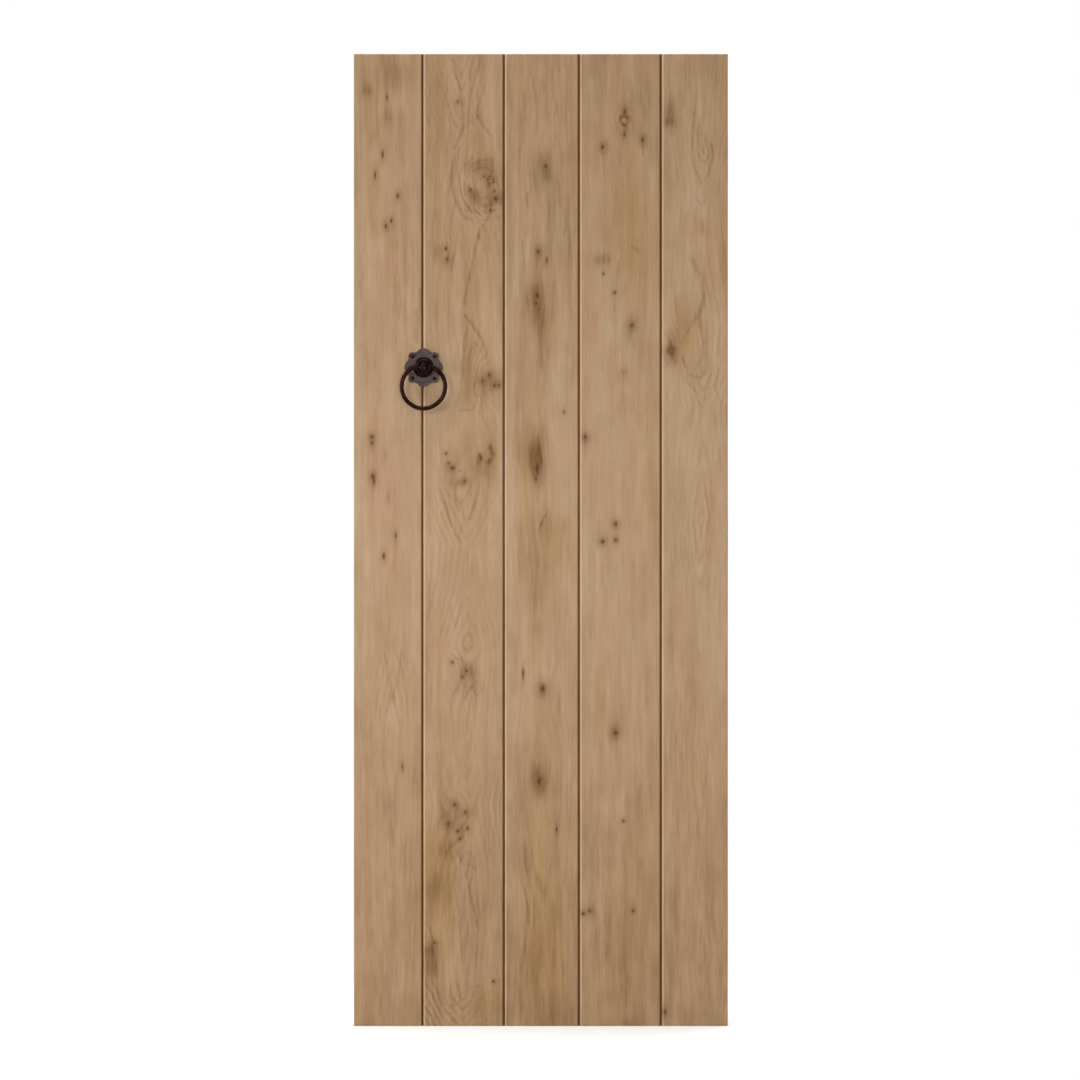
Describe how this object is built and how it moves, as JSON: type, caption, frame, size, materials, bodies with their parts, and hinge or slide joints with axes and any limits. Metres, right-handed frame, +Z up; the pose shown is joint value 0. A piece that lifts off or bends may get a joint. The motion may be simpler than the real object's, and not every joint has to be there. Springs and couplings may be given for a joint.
{
  "type": "boarded oak door leaf",
  "caption": "Rectangular ledged door leaf of V-jointed oak boards, with a black iron ring handle that lifts a latch bar, hung on three hinges.",
  "frame": {"origin": "middle of the leaf's bottom edge, halfway through the thickness of the boards", "axes": "+X to the right seen from the front, +Y from the front to the ledged back, +Z up"},
  "size_m": [0.7628, 0.0842, 1.981],
  "materials": {
    "oak_boards": "planed, clear oiled",
    "oak_ledges": "planed, clear oiled",
    "rose_iron": "cast, brown-black wax",
    "black_iron": "forged, black wax",
    "hinge_black": "black japanned steel",
    "fixing_steel": "zinc plated, dull"
  },
  "bodies": {
    "frame_leaves": {"hinge_top_frame_leaf": "hinge_black", "hinge_top_pin": "fixing_steel", "hinge_middle_frame_leaf": "hinge_black", "hinge_middle_pin": "fixing_steel", "hinge_bottom_frame_leaf": "hinge_black", "hinge_bottom_pin": "fixing_steel"},
    "door": {"board_1": "oak_boards", "board_2": "oak_boards", "board_3": "oak_boards", "board_4": "oak_boards", "board_5": "oak_boards", "ledge_top": "oak_ledges", "ledge_middle": "oak_ledges", "ledge_bottom": "oak_ledges", "ledge_screws": "fixing_steel", "hinge_top_door_leaf": "hinge_black", "hinge_middle_door_leaf": "hinge_black", "hinge_bottom_door_leaf": "hinge_black", "hinge_screws": "fixing_steel", "rose_plate": "rose_iron", "rose_screws": "black_iron", "back_plate": "black_iron", "back_plate_screws": "fixing_steel", "pivot_plate": "black_iron", "pivot_bolt": "fixing_steel", "pivot_plate_screws": "fixing_steel", "keeper": "black_iron", "keeper_screws": "fixing_steel"},
    "boss": {"ring_boss": "black_iron", "spindle": "fixing_steel", "lifter": "black_iron", "lifter_pin": "fixing_steel"},
    "ring": {"ring": "black_iron"},
    "bar": {"latch_bar": "black_iron", "latch_knob": "black_iron"}
  },
  "joints": [
    {"name": "door_swing", "type": "hinge", "parent": "frame_leaves", "child": "door", "pos_m": [0.37655, 0.03825, 0.9905], "axis": [0, 0, -1], "range_deg": [0, 170]},
    {"name": "ring_turn", "type": "hinge", "parent": "door", "child": "boss", "pos_m": [-0.239, 0, 1.342], "axis": [0, 1, 0], "range_deg": [0, 25]},
    {"name": "ring_swing", "type": "hinge", "parent": "boss", "child": "ring", "pos_m": [-0.239, -0.028, 1.342], "axis": [-1, 0, 0], "range_deg": [-6, 170]},
    {"name": "latch_lift", "type": "hinge", "parent": "door", "child": "bar", "pos_m": [-0.179, 0.0185, 1.3622], "axis": [0, 1, 0], "range_deg": [0, 7.5]}
  ],
  "couplings": [
    {"joint": "latch_lift", "follows": "ring_turn", "ratio": 0.3}
  ]
}
